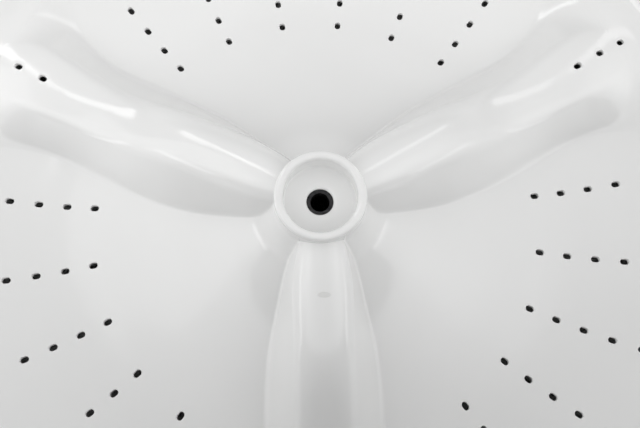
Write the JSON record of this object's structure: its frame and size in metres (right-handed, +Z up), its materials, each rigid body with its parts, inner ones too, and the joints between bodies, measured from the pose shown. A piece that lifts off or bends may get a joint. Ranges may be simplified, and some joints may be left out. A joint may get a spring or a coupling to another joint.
{
  "type": "washing machine washplate",
  "caption": "Slotted round washplate with hollow raised arms, a central cap collar and a splined metal drive insert.",
  "frame": {"origin": "hub axis at the bottom of the skirt", "axes": "+Z up along the hub axis, out of the cap collar; +Y midway between two arms, with the third arm along -Y"},
  "size_m": [0.516, 0.516, 0.105],
  "materials": {
    "washplate": "gloss pale grey-white moulding",
    "drive_insert": "blackened steel"
  },
  "bodies": {
    "root": {"washplate": "washplate", "drive_insert": "drive_insert"}
  },
  "joints": []
}
